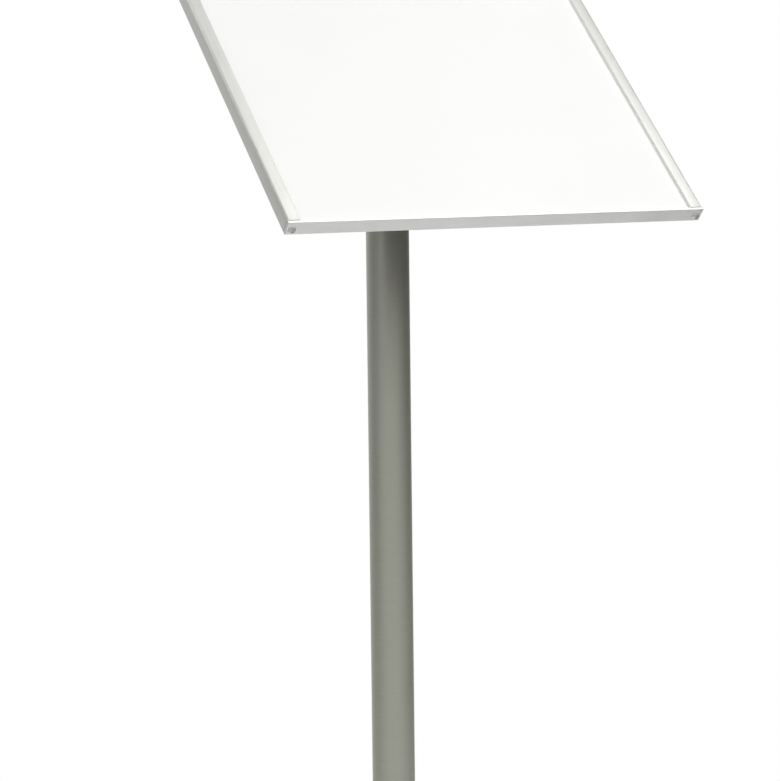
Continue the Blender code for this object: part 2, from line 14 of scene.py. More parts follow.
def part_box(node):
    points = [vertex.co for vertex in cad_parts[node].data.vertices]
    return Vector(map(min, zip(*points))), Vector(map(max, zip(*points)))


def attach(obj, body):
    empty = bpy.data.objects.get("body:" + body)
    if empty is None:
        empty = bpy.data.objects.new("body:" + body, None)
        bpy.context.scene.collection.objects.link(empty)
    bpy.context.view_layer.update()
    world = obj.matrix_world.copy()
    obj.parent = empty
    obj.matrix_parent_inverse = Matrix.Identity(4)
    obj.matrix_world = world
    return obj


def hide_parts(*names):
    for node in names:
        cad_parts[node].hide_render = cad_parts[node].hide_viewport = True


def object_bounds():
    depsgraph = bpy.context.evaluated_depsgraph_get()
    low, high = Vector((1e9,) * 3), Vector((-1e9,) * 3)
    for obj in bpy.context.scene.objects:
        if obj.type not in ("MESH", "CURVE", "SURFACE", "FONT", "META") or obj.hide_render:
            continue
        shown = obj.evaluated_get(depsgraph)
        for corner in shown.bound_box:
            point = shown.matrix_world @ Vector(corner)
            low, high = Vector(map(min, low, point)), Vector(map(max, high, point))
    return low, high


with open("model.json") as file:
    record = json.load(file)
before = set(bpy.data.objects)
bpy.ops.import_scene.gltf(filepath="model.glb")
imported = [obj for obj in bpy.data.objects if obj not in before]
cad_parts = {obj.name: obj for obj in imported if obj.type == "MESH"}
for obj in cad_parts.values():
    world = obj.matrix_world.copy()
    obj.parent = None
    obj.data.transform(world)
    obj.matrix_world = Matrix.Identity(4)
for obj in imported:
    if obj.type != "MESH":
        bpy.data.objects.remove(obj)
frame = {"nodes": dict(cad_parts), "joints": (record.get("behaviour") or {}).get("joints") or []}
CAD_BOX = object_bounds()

# Camera: solved from the edges of the frame and the tube in the photograph
CAMERA_PLACE = Vector((-1.255159, -2.560676, 0.987252))
CAMERA_AZIMUTH = -26.128
CAMERA_ELEVATION = 5.962
CAMERA_ROLL = -0.678
CAMERA_LENS = 129.16
CAMERA_REACH = (0.05, 200.0)  # nearest and farthest distance that it sees

# Side rail extrusion, seen along its length
RAIL_OUTER_WALL = 0.0022
RAIL_INNER_WALL = 0.001
RAIL_FRONT_WALL = 0.0018
RAIL_REAR_FLANGE = 0.0014
RAIL_FRONT_RADIUS = 0.0024
RAIL_EDGE_RADIUS = 0.0005
GROOVE_DEPTH = 0.0025
GROOVE_CLEARANCE = 0.0001
PORT_WALL = 0.0012
PORT_RADIUS = 0.0019

# Screws: the rim is the upright part of the head, below its dome
SCREW_SIZES = ("Head Radius", "Head Height", "Rim", "Key", "Shank Radius")
STRIP_SCREW = dict(zip(SCREW_SIZES, (0.0038, 0.0022, 0.0007, 0.0025, 0.0016)))
FIXING_SCREW = dict(zip(SCREW_SIZES, (0.00475, 0.0027, 0.0005, 0.003, 0.0021)))
PIVOT_BOLT = dict(zip(SCREW_SIZES, (0.00875, 0.0055, 0.0008, 0.006, 0.005)))
SOCKET_DEPTH = 0.5  # share of the head's height
SHANK = 0.006  # length of shank that is drawn under a head

# Tube, base and pad
SEAT = 0.0003  # between faces that touch
TUBE_WALL = 0.002
BASE_HOLE_RADIUS = 0.0063
COLLAR_LIP = 0.002

# Rounded edges
STRIP_EDGE = 0.0006
CAST_EDGE = 0.0008
SHEET_EDGE = 0.0003
WASHER_EDGE = 0.0003
TUBE_EDGE = 0.0003
BASE_EDGE = 0.004
BASE_LOWER_EDGE = 0.001
COLLAR_EDGE = 0.0004
PAD_EDGE = 0.0005

# Facets: how many there are in a full turn, or in one arc
TURN_STEPS = 160
SMALL_TURN_STEPS = 64
HEAD_STEPS = 48
DOME_RINGS = 40
SHANK_STEPS = 32
PORT_STEPS = 32
ARC_STEPS = 8

# Shading and joining: angles in degrees, distances within which points become one
SHARP_ANGLE = 35.0  # a bend of more than this shows as an edge
BEVEL_ANGLE = 40.0  # a bend of more than this is rounded
FLAT_ANGLE = 1.0  # faces that bend less than this become one face
OUTLINE_MERGE = 0.000001
SOLID_MERGE = 0.000005
TURN_MERGE = 0.00001
NOISE_RANGE = (0.3, 0.7)  # where most of a noise's values lie

# The panel's own axes: X across, Y up the slope, Z out of its face, with the pivot as origin
JOINTS = {joint["name"]: joint for joint in frame["joints"]}
PIVOT = Vector(JOINTS["panel_tilt"]["pos_m"])
SLOPE = Vector(JOINTS["insert_slide"]["axis"])
TILT = math.atan2(SLOPE.z, SLOPE.y)
PANEL = Matrix.Translation(PIVOT) @ Matrix.Rotation(TILT, 4, "X")
UP_THE_SLOPE = Matrix.Rotation(math.pi / 2, 4, "X")  # turns what lies along Z to the panel's Y


def panel_box(node):
    """Lowest and highest corner of a CAD node along the panel's own axes."""
    back = PANEL.inverted()
    corners = [back @ vertex.co for vertex in frame["nodes"][node].data.vertices]
    low = Vector(min(corner[i] for corner in corners) for i in range(3))
    high = Vector(max(corner[i] for corner in corners) for i in range(3))
    return low, high


def srgb(code):
    """Linear RGBA of an sRGB hex colour."""
    levels = [int(code[i : i + 2], 16) / 255 for i in (1, 3, 5)]
    return (*[v / 12.92 if v <= 0.04045 else ((v + 0.055) / 1.055) ** 2.4 for v in levels], 1.0)


def add(tree, kind, inputs=None, **settings):
    """Adds a node with its settings. An input takes a value, or a link from another node's output."""
    made = tree.nodes.new(kind)
    for name, value in settings.items():
        setattr(made, name, value)
    for key, value in (inputs or {}).items():
        if isinstance(value, bpy.types.NodeSocket):
            tree.links.new(value, made.inputs[key])
        else:
            made.inputs[key].default_value = value
    return made


def new_finish(name, colour, metallic, roughness, more=None):
    """A material with a Principled BSDF. Returns the material, its node tree and the shader."""
    made = bpy.data.materials.new(name)
    made.use_nodes = True
    shader = made.node_tree.nodes["Principled BSDF"]
    shader.inputs["Base Color"].default_value = srgb(colour)
    shader.inputs["Metallic"].default_value = metallic
    shader.inputs["Roughness"].default_value = roughness
    for socket, value in (more or {}).items():
        shader.inputs[socket].default_value = value
    made.diffuse_color = srgb(colour)
    return made, made.node_tree, shader


def grain(tree, size, tilted=False, detail=2.0):
    """Noise with grains of this size along X, Y and Z, in metres, on the post's or the panel's axes."""
    place = add(tree, "ShaderNodeTexCoord")
    turned = {"Vector": place.outputs["Object"], "Scale": size}
    if tilted:
        turned.update({"Location": PIVOT, "Rotation": (TILT, 0, 0)})
    axes = add(tree, "ShaderNodeMapping", turned, vector_type="TEXTURE")
    noise = {"Vector": axes.outputs[0], "Scale": 1.0, "Detail": detail}
    return add(tree, "ShaderNodeTexNoise", noise).outputs["Fac"]


def spread(tree, factor, low, high):
    """The noise's middle range, stretched to run from low to high."""
    start, end = NOISE_RANGE
    limits = {"Value": factor, "From Min": start, "From Max": end, "To Min": low, "To Max": high}
    return add(tree, "ShaderNodeMapRange", limits).outputs[0]


def two_tone(tree, shader, factor, dark, light):
    """The shader's colour runs from dark to light with the noise."""
    mix = add(tree, "ShaderNodeMix", data_type="RGBA")
    tree.links.new(spread(tree, factor, 0.0, 1.0), mix.inputs["Factor"])
    mix.inputs[6].default_value = srgb(dark)
    mix.inputs[7].default_value = srgb(light)
    tree.links.new(mix.outputs[2], shader.inputs["Base Color"])


def relief(tree, shader, height, distance):
    """Bump of this height in metres."""
    bump = add(tree, "ShaderNodeBump", {"Height": height, "Distance": distance})
    tree.links.new(bump.outputs[0], shader.inputs["Normal"])


def anodised_aluminium(name, length_axis, colour, dark, light):
    """Satin anodised extrusion: a milky, pale metal with fine die lines along its length."""
    made, tree, shader = new_finish(name, colour, 0.8, 0.42)
    size = [0.0005, 0.0005, 0.0005]  # die lines, coarser than the real 0.1 mm so that they show
    size[length_axis] = 0.15
    lines = grain(tree, size, tilted=True)
    haze = grain(tree, (0.03, 0.03, 0.03), tilted=True)
    two_tone(tree, shader, lines, dark, light)
    tree.links.new(spread(tree, haze, 0.38, 0.46), shader.inputs["Roughness"])
    relief(tree, shader, lines, 0.00001)
    return made


def ground_stainless():
    """Stainless tube ground round its girth: dull, warm grey, its highlights drawn out along the tube."""
    made, tree, shader = new_finish("ground_stainless", "#C1C2B6", 0.85, 0.6, {"Anisotropic": 0.2})
    lines = grain(tree, (0.02, 0.02, 0.0006))  # lines of 0.1 mm, drawn coarser so that they show
    haze = grain(tree, (0.05, 0.05, 0.09))
    two_tone(tree, shader, lines, "#BEBFB3", "#C4C5B9")
    tree.links.new(spread(tree, haze, 0.57, 0.63), shader.inputs["Roughness"])
    relief(tree, shader, lines, 0.000005)
    tangent = add(tree, "ShaderNodeTangent", direction_type="UV_MAP", uv_map="along")
    tree.links.new(tangent.outputs[0], shader.inputs["Tangent"])
    return made


def brushed_stainless():
    """Stainless plate brushed in one direction: satin grey with long straight lines."""
    made, tree, shader = new_finish("brushed_stainless", "#A0A19B", 1.0, 0.4)
    lines = grain(tree, (0.12, 0.0007, 0.0007))  # lines of 0.1 mm, drawn coarser so that they show
    haze = grain(tree, (0.06, 0.06, 0.06))
    two_tone(tree, shader, lines, "#989993", "#A8A9A3")
    tree.links.new(spread(tree, haze, 0.39, 0.43), shader.inputs["Roughness"])
    relief(tree, shader, lines, 0.00001)
    return made


def blasted_casting():
    """Cast aluminium blasted with fine beads: an even, matt grey with a fine grain."""
    made, tree, shader = new_finish("blasted_casting", "#A5A6A3", 1.0, 0.52)
    beads = grain(tree, (0.0004, 0.0004, 0.0004), detail=3.0)  # dents of 0.2 mm, drawn coarser
    haze = grain(tree, (0.025, 0.025, 0.025))
    two_tone(tree, shader, haze, "#A1A29F", "#A9AAA7")
    tree.links.new(spread(tree, beads, 0.46, 0.58), shader.inputs["Roughness"])
    relief(tree, shader, beads, 0.00004)
    return made


def dark_sheet():
    """Aluminium sheet with a dark anodised skin: nearly black, dull, with faint lines up the slope."""
    made, tree, shader = new_finish("dark_anodised_sheet", "#2B2B2A", 0.6, 0.5)
    lines = grain(tree, (0.0012, 0.2, 0.0012), tilted=True)
    two_tone(tree, shader, lines, "#272726", "#2F2F2E")
    tree.links.new(spread(tree, lines, 0.46, 0.54), shader.inputs["Roughness"])
    return made


def white_coating():
    """Composite plate with a white baked coating: clean white, half matt, with a faint orange peel."""
    made, tree, shader = new_finish("white_coated_plate", "#FDFDFC", 0.0, 0.4, {"IOR": 1.5})
    peel = grain(tree, (0.0015, 0.0015, 0.0015), tilted=True)
    haze = grain(tree, (0.08, 0.08, 0.08), tilted=True)
    two_tone(tree, shader, haze, "#FCFCFB", "#FEFEFD")
    tree.links.new(spread(tree, peel, 0.36, 0.44), shader.inputs["Roughness"])
    relief(tree, shader, peel, 0.000004)
    return made


def turned_steel():
    """Stainless fasteners: a slightly blue grey, brighter than the tube, with small tool marks."""
    made, tree, shader = new_finish("turned_stainless", "#E1E6E4", 0.7, 0.5)
    marks = grain(tree, (0.0006, 0.0006, 0.0006))  # marks of 0.1 mm, drawn coarser
    two_tone(tree, shader, marks, "#DBE0DE", "#E7EBE9")
    tree.links.new(spread(tree, marks, 0.46, 0.54), shader.inputs["Roughness"])
    return made


def moulded_nylon():
    """Black nylon washers: dark, dull, with a faint mould grain."""
    made, tree, shader = new_finish("moulded_nylon", "#1A1A1A", 0.0, 0.55, {"IOR": 1.53})
    skin = grain(tree, (0.0007, 0.0007, 0.0007))
    two_tone(tree, shader, skin, "#171717", "#1E1E1E")
    tree.links.new(spread(tree, skin, 0.5, 0.6), shader.inputs["Roughness"])
    return made


def floor_rubber():
    """Rubber sheet under the base: matt black with a grain of a millimetre."""
    made, tree, shader = new_finish("rubber_sheet", "#1C1C1B", 0.0, 0.85, {"IOR": 1.52})
    skin = grain(tree, (0.001, 0.001, 0.001), detail=3.0)
    two_tone(tree, shader, skin, "#181817", "#21211F")
    relief(tree, shader, skin, 0.0001)
    return made


RAIL_FINISH = anodised_aluminium("anodised_rail", 1, "#E0E1DC", "#DBDCD7", "#E5E6E1")
STRIP_FINISH = anodised_aluminium("anodised_strip", 0, "#ECEDEC", "#E8E9E8", "#F0F1F0")
TUBE_FINISH = ground_stainless()
BASE_FINISH = brushed_stainless()
CAST_FINISH = blasted_casting()
SHEET_FINISH = dark_sheet()
PLATE_FINISH = white_coating()
SCREW_FINISH = turned_steel()
NYLON_FINISH = moulded_nylon()
RUBBER_FINISH = floor_rubber()


def add_piece(name, mesh, body, finish, nodes, edge=0.0, segments=3):
    """A finished mesh in its place. It rides on a body, stands for CAD nodes and may get rounded edges."""
    mesh.name = name
    mesh.materials.clear()
    mesh.materials.append(finish)
    made = bpy.data.objects.new(name, mesh)
    bpy.context.scene.collection.objects.link(made)
    if edge:
        modifier = made.modifiers.new("edges", "BEVEL")
        modifier.width = edge
        modifier.segments = segments
        modifier.limit_method = "ANGLE"
        modifier.angle_limit = math.radians(BEVEL_ANGLE)
        modifier.harden_normals = True
    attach(made, body)
    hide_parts(*nodes)
    return made


def smooth(mesh):
    """Shades the mesh smooth but for its sharp edges."""
    mesh.shade_smooth()
    mesh.set_sharp_from_angle(angle=math.radians(SHARP_ANGLE))
    return mesh


def baked(mesh, setup):
    """The mesh after modifiers that setup adds to a passing object."""
    holder = bpy.data.objects.new("holder", mesh)
    bpy.context.scene.collection.objects.link(holder)
    setup(holder)
    graph = bpy.context.evaluated_depsgraph_get()
    made = bpy.data.meshes.new_from_object(holder.evaluated_get(graph))
    bpy.data.objects.remove(holder, do_unlink=True)
    return made


def outline_mesh(outlines):
    """Closed outlines on the XY plane, as edges."""
    points, edges = [], []
    for outline in outlines:
        first = len(points)
        points += [(x, y, 0) for x, y in outline]
        edges += [(first + i, first + (i + 1) % len(outline)) for i in range(len(outline))]
    mesh = bpy.data.meshes.new("outline")
    mesh.from_pydata(points, edges, [])
    return mesh


def arc(centre, radius, start, end, steps=ARC_STEPS):
    """Points on an arc, with angles in degrees."""
    turn = [math.radians(start + (end - start) * i / steps) for i in range(steps + 1)]
    return [(centre[0] + radius * math.cos(a), centre[1] + radius * math.sin(a)) for a in turn]


def circle(centre, radius, steps=SMALL_TURN_STEPS):
    return arc(centre, radius, 0, 360, steps)[:-1]


def new_tree(name, sizes):
    """A geometry tree that takes a geometry, the named sizes and a material."""
    tree = bpy.data.node_groups.new(name, "GeometryNodeTree")
    tree.interface.new_socket("Geometry", in_out="INPUT", socket_type="NodeSocketGeometry")
    for size in sizes:
        tree.interface.new_socket(size, in_out="INPUT", socket_type="NodeSocketFloat")
    tree.interface.new_socket("Material", in_out="INPUT", socket_type="NodeSocketMaterial")
    tree.interface.new_socket("Geometry", in_out="OUTPUT", socket_type="NodeSocketGeometry")
    return tree, add(tree, "NodeGroupInput").outputs


def close_tree(tree, geometry, material):
    """Shades the geometry smooth but for sharp edges, realizes it, sets its material and puts it out."""
    faces = add(tree, "GeometryNodeSetShadeSmooth", {"Geometry": geometry, "Shade Smooth": True})
    bend = add(tree, "GeometryNodeInputMeshEdgeAngle").outputs["Unsigned Angle"]
    limit = math.radians(SHARP_ANGLE)
    sharp = add(tree, "FunctionNodeCompare", {0: bend, 1: limit}, operation="GREATER_THAN")
    edges = {"Geometry": faces.outputs[0], "Selection": sharp.outputs[0], "Shade Smooth": False}
    edges = add(tree, "GeometryNodeSetShadeSmooth", edges, domain="EDGE")
    real = add(tree, "GeometryNodeRealizeInstances", {"Geometry": edges.outputs[0]})
    painted = add(tree, "GeometryNodeSetMaterial", {"Geometry": real.outputs[0], "Material": material})
    add(tree, "NodeGroupOutput", {"Geometry": painted.outputs[0]})


def run_tree(tree, mesh, values):
    """The mesh that the tree makes of this one with these values."""

    def setup(holder):
        modifier = holder.modifiers.new(tree.name, "NODES")
        modifier.node_group = tree
        for item in tree.interface.items_tree:
            if item.in_out == "INPUT" and item.name in values:
                modifier[item.identifier] = values[item.name]

    return baked(mesh, setup)


def moved(tree, geometry, height):
    """The geometry, lifted along Z."""
    lift = add(tree, "ShaderNodeCombineXYZ", {"Z": height}).outputs[0]
    made = add(tree, "GeometryNodeTransform", {"Geometry": geometry, "Translation": lift})
    return made.outputs[0]


def maths(tree, operation, first, second):
    return add(tree, "ShaderNodeMath", {0: first, 1: second}, operation=operation).outputs[0]


def extrusion_tree():
    """Fills closed outlines and draws them out evenly to both sides along Z."""
    tree, given = new_tree("extrusion", ["Length"])
    curve = add(tree, "GeometryNodeMeshToCurve", {"Mesh": given["Geometry"]})
    filled = add(tree, "GeometryNodeFillCurve", {"Curve": curve.outputs[0]})
    drawn = {"Mesh": filled.outputs[0], "Offset": (0, 0, 1), "Offset Scale": given["Length"]}
    drawn = add(tree, "GeometryNodeExtrudeMesh", {**drawn, "Individual": False})
    start = add(tree, "GeometryNodeFlipFaces", {"Mesh": filled.outputs[0]})
    both = add(tree, "GeometryNodeJoinGeometry")
    tree.links.new(drawn.outputs["Mesh"], both.inputs[0])
    tree.links.new(start.outputs[0], both.inputs[0])
    closed = {"Geometry": both.outputs[0], "Distance": OUTLINE_MERGE}
    closed = add(tree, "GeometryNodeMergeByDistance", closed)
    half = maths(tree, "MULTIPLY", given["Length"], -0.5)
    close_tree(tree, moved(tree, closed.outputs[0], half), given["Material"])
    return tree


def rod(tree, sides, radius, length, middle):
    """An upright rod with its middle at this height."""
    made = add(tree, "GeometryNodeMeshCylinder", {"Vertices": sides, "Radius": radius, "Depth": length})
    return moved(tree, made.outputs[0], middle)


def button_screw_tree():
    """Puts a button-head socket screw on every point, with its head along the point's axis."""
    tree, given = new_tree("button_screws", [*SCREW_SIZES, "Length"])
    radius, height = given["Head Radius"], given["Head Height"]
    rise = maths(tree, "SUBTRACT", height, given["Rim"])
    squares = maths(tree, "ADD", maths(tree, "POWER", radius, 2.0), maths(tree, "POWER", rise, 2.0))
    ball = maths(tree, "DIVIDE", maths(tree, "DIVIDE", squares, rise), 2.0)
    dome = {"Segments": HEAD_STEPS, "Rings": DOME_RINGS, "Radius": ball}
    dome = add(tree, "GeometryNodeMeshUVSphere", dome).outputs[0]
    dome = moved(tree, dome, maths(tree, "SUBTRACT", height, ball))
    blank = rod(tree, HEAD_STEPS, radius, maths(tree, "MULTIPLY", height, 2.0), height)
    head = add(tree, "GeometryNodeMeshBoolean", operation="INTERSECT", solver="EXACT")
    tree.links.new(dome, head.inputs[1])
    tree.links.new(blank, head.inputs[1])
    corner = maths(tree, "DIVIDE", given["Key"], math.sqrt(3))
    socket = rod(tree, 6, corner, maths(tree, "MULTIPLY", height, 2 * SOCKET_DEPTH), height)
    cut = {0: head.outputs[0], 1: socket}
    cut = add(tree, "GeometryNodeMeshBoolean", cut, operation="DIFFERENCE", solver="EXACT")
    drop = maths(tree, "MULTIPLY", given["Length"], -0.5)
    shank = rod(tree, SHANK_STEPS, given["Shank Radius"], given["Length"], drop)
    screw = add(tree, "GeometryNodeJoinGeometry")
    tree.links.new(cut.outputs[0], screw.inputs[0])
    tree.links.new(shank, screw.inputs[0])
    axis = add(tree, "GeometryNodeInputNamedAttribute", {"Name": "axis"}, data_type="FLOAT_VECTOR")
    turn = {"Vector": axis.outputs[0]}
    turn = add(tree, "FunctionNodeAlignRotationToVector", turn, axis="Z")
    placed = {"Points": given["Geometry"], "Instance": screw.outputs[0], "Rotation": turn.outputs[0]}
    placed = add(tree, "GeometryNodeInstanceOnPoints", placed)
    close_tree(tree, placed.outputs[0], given["Material"])
    return tree


EXTRUSION = extrusion_tree()
BUTTON_SCREWS = button_screw_tree()


def extruded(outlines, length, finish):
    return run_tree(EXTRUSION, outline_mesh(outlines), {"Length": length, "Material": finish})


def screws(places, sizes):
    """Button-head screws. Each place is a point under the head and the way that the head looks."""
    mesh = bpy.data.meshes.new("places")
    mesh.from_pydata([point for point, axis in places], [], [])
    axes = mesh.attributes.new("axis", "FLOAT_VECTOR", "POINT")
    for entry, (point, axis) in zip(axes.data, places):
        entry.vector = axis
    return run_tree(BUTTON_SCREWS, mesh, {**sizes, "Length": SHANK, "Material": SCREW_FINISH})


def turned(profile, steps=TURN_STEPS, ring=False):
    """A mesh turned about Z. The profile runs down its outer side and, for a ring, back up its bore."""
    count = len(profile)
    edges = [(i, i + 1) for i in range(count - 1)] + ([(count - 1, 0)] if ring else [])
    mesh = bpy.data.meshes.new("profile")
    mesh.from_pydata([(r, 0, z) for r, z in profile], edges, [])

    def setup(holder):
        modifier = holder.modifiers.new("turn", "SCREW")
        modifier.steps = steps
        modifier.render_steps = steps
        modifier.use_merge_vertices = True
        modifier.merge_threshold = TURN_MERGE
        modifier.use_normal_calculate = False

    return smooth(baked(mesh, setup))


def along_uv(mesh):
    """A UV map on a turned mesh: U is the height and V the way round, in metres."""
    layer = mesh.uv_layers.new(name="along")
    for face in mesh.polygons:
        middle = math.atan2(face.center.y, face.center.x)
        for loop in face.loop_indices:
            place = mesh.vertices[mesh.loops[loop].vertex_index].co
            angle = math.atan2(place.y, place.x)
            angle += math.tau * round((middle - angle) / math.tau)
            layer.data[loop].uv = (place.z, angle * Vector((place.x, place.y)).length)
    return mesh


def solid_of(node):
    """A copy of a CAD node's mesh with its doubles merged and its flat faces joined."""
    mesh = frame["nodes"][node].data.copy()
    shape = bmesh.new()
    shape.from_mesh(mesh)
    bmesh.ops.remove_doubles(shape, verts=shape.verts, dist=SOLID_MERGE)
    limit = math.radians(FLAT_ANGLE)
    bmesh.ops.dissolve_limit(shape, angle_limit=limit, verts=shape.verts, edges=shape.edges)
    shape.to_mesh(mesh)
    shape.free()
    return smooth(mesh)


def rail_section(width, depth, plate_front, plate_rear, back_front, back_rear):
    """Outlines of a side rail: across from its outer side, then depth, with the levels of both plates."""
    front, edge, floor = RAIL_FRONT_RADIUS, RAIL_EDGE_RADIUS, width - GROOVE_DEPTH
    lip, first_end = plate_front + GROOVE_CLEARANCE, plate_rear - GROOVE_CLEARANCE
    second_start, second_end = back_front + GROOVE_CLEARANCE, back_rear - GROOVE_CLEARANCE
    outer = arc((front, -front), front, 180, 90)
    outer += arc((width - edge, -edge), edge, 90, 0)
    outer += [(width, lip), (floor, lip), (floor, first_end), (width, first_end)]
    outer += [(width, second_start), (floor, second_start), (floor, second_end), (width, second_end)]
    outer += [(width, second_end - RAIL_REAR_FLANGE), (floor, second_end - RAIL_REAR_FLANGE)]
    outer += arc((floor - edge, edge - depth), edge, 0, -90)
    outer += arc((edge, edge - depth), edge, 270, 180)
    inner = floor - RAIL_INNER_WALL
    middle = (RAIL_OUTER_WALL + inner) / 2
    axis = STRIP_SCREW_LEVEL
    chamber = [(RAIL_OUTER_WALL, -RAIL_FRONT_WALL), (inner, -RAIL_FRONT_WALL), (inner, axis)]
    chamber += arc((middle, axis), PORT_RADIUS + PORT_WALL, 0, 180)
    chamber.append((RAIL_OUTER_WALL, axis))
    return [outer, chamber, circle((middle, axis), PORT_RADIUS, PORT_STEPS)]


LEFT_RAIL = panel_box("left_rail")
FRONT_LEVEL = LEFT_RAIL[1].z
STRIP_SCREW_LEVEL = sum(corner.z for corner in panel_box("top_strip_screw_left")) / 2 - FRONT_LEVEL


def build_rails():
    low, high = LEFT_RAIL
    levels = []
    for node in ("info_plate", "back_panel"):
        bottom, top = panel_box(node)
        levels += [top.z - FRONT_LEVEL, bottom.z - FRONT_LEVEL]
    section = rail_section(high.x - low.x, high.z - low.z, *levels)
    for name, side in (("left_rail", 1), ("right_rail", -1)):
        outlines = [[(side * x, y) for x, y in outline][::side] for outline in section]
        mesh = extruded(outlines, high.y - low.y, RAIL_FINISH)
        mesh.transform(PANEL @ Matrix.Translation((side * low.x, 0, FRONT_LEVEL)) @ UP_THE_SLOPE)
        add_piece(f"{name}_profile", mesh, "panel", RAIL_FINISH, [name])


def build_strips():
    for end, body, side in (("bottom", "panel", -1), ("top", "insert", 1)):
        low, high = panel_box(f"{end}_strip")
        size, middle = high - low, (low + high) / 2
        outline = [(x * size.x / 2, y * size.z / 2) for x, y in ((1, 1), (-1, 1), (-1, -1), (1, -1))]
        mesh = extruded([outline], size.y, STRIP_FINISH)
        mesh.transform(PANEL @ Matrix.Translation(middle) @ UP_THE_SLOPE)
        bar = f"{end}_strip"
        add_piece(f"{bar}_bar", mesh, body, STRIP_FINISH, [bar], STRIP_EDGE)
        places, nodes = [], []
        for hand in ("left", "right"):
            node = f"{bar}_screw_{hand}"
            first, last = panel_box(node)
            under = (last.y if side > 0 else first.y) - side * STRIP_SCREW["Head Height"]
            point = Vector(((first.x + last.x) / 2, under, (first.z + last.z) / 2))
            places.append((PANEL @ point, PANEL.to_3x3() @ Vector((0, side, 0))))
            nodes.append(node)
        add_piece(f"{bar}_screws", screws(places, STRIP_SCREW), body, SCREW_FINISH, nodes)


def build_bracket():
    node = "panel_bracket"
    add_piece("tilt_bracket", solid_of(node), "panel", CAST_FINISH, [node], CAST_EDGE)
    places, nodes = [], []
    for number in range(1, 5):
        node = f"bracket_screw_{number}"
        low, high = panel_box(node)
        under = low.z + FIXING_SCREW["Head Height"]
        point = Vector(((low.x + high.x) / 2, (low.y + high.y) / 2, under))
        places.append((PANEL @ point, PANEL.to_3x3() @ Vector((0, 0, -1))))
        nodes.append(node)
    add_piece("bracket_screws", screws(places, FIXING_SCREW), "panel", SCREW_FINISH, nodes)


def build_washers():
    """The washers on the pivot, one piece for each kind."""
    kinds = (("pivot_washer", "fastener", SCREW_FINISH), ("friction_washer", "nylon", NYLON_FINISH))
    for kind, slot, finish in kinds:
        both = bmesh.new()
        nodes = [f"{kind}_left", f"{kind}_right"]
        for node in nodes:
            low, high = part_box(node)
            rings = [circle((0, 0), (high.z - low.z) / 2), circle((0, 0), PIVOT_BOLT["Shank Radius"])]
            ring = extruded(rings, high.x - low.x, finish)
            middle = (low + high) / 2
            ring.transform(Matrix.Translation(middle) @ Matrix.Rotation(math.pi / 2, 4, "Y"))
            both.from_mesh(ring)
        mesh = bpy.data.meshes.new(kind)
        both.to_mesh(mesh)
        both.free()
        add_piece(f"{kind}s", smooth(mesh), "post", finish, nodes, WASHER_EDGE, 2)


def build_pivot():
    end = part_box("pivot_bolt")[0].x
    under = Vector((end + PIVOT_BOLT["Head Height"], 0, PIVOT.z))
    bolt = screws([(under, Vector((-1, 0, 0)))], PIVOT_BOLT)
    add_piece("pivot_bolt_head", bolt, "post", SCREW_FINISH, ["pivot_bolt"])
    nut = solid_of("pivot_nut")
    add_piece("pivot_cap_nut", nut, "post", SCREW_FINISH, ["pivot_nut"], WASHER_EDGE, 2)


def build_head():
    head = solid_of("head_plug")
    add_piece("head_casting", head, "post", CAST_FINISH, ["head_plug"], CAST_EDGE / 2)
    places, nodes = [], []
    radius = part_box("post_tube")[1].x
    for number in range(1, 4):
        node = f"head_screw_{number}"
        first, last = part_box(node)
        middle = (first + last) / 2
        outward = Vector((middle.x, middle.y, 0)).normalized()
        places.append((outward * (radius + SEAT) + Vector((0, 0, middle.z)), outward))
        nodes.append(node)
    add_piece("head_screws", screws(places, FIXING_SCREW), "post", SCREW_FINISH, nodes)


def build_tube():
    low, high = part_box("post_tube")
    bore = high.x - TUBE_WALL
    profile = [(bore, high.z), (high.x - TUBE_EDGE, high.z), (high.x, high.z - TUBE_EDGE)]
    profile += [(high.x, low.z), (bore, low.z)]
    mesh = along_uv(turned(profile, ring=True))
    add_piece("post_tube_skin", mesh, "post", TUBE_FINISH, ["post_tube"])


def build_base():
    low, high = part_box("base_plate")
    profile = [(BASE_HOLE_RADIUS, high.z)]
    profile += arc((high.x - BASE_EDGE, high.z - BASE_EDGE), BASE_EDGE, 90, 0)
    profile += [(high.x, low.z + BASE_LOWER_EDGE), (high.x - BASE_LOWER_EDGE, low.z)]
    profile.append((BASE_HOLE_RADIUS, low.z))
    mesh = turned(profile, ring=True)
    add_piece("base_disc", mesh, "post", BASE_FINISH, ["base_plate"])

    low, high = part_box("base_collar")
    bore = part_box("post_tube")[1].x + SEAT
    width, height = high.x - bore - COLLAR_LIP, high.z - low.z - 2 * COLLAR_LIP
    profile = [(bore, high.z), (bore + COLLAR_LIP, high.z)]
    for x, z in arc((1, 1), 1, 180, 270):
        profile.append((bore + COLLAR_LIP + width * x, low.z + COLLAR_LIP + height * z))
    profile += [(high.x, low.z), (bore, low.z)]
    mesh = turned(profile, ring=True)
    add_piece("base_flare", mesh, "post", BASE_FINISH, ["base_collar"], COLLAR_EDGE, 2)

    low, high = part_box("floor_pad")
    profile = [(0, high.z), (high.x - PAD_EDGE, high.z), (high.x, high.z - PAD_EDGE)]
    profile += [(high.x, low.z + PAD_EDGE), (high.x - PAD_EDGE, low.z), (0, low.z)]
    add_piece("rubber_pad", turned(profile), "post", RUBBER_FINISH, ["floor_pad"])


def paint_node(name, finish):
    """Gives a CAD node that is shown its material."""
    mesh = frame["nodes"][name].data
    mesh.materials.clear()
    mesh.materials.append(finish)


def build_plates():
    plate = solid_of("info_plate")
    add_piece("white_plate", plate, "insert", PLATE_FINISH, ["info_plate"], SHEET_EDGE)
    paint_node("back_panel", SHEET_FINISH)
    paint_node("foot_insert", CAST_FINISH)
    paint_node("base_screw", SCREW_FINISH)


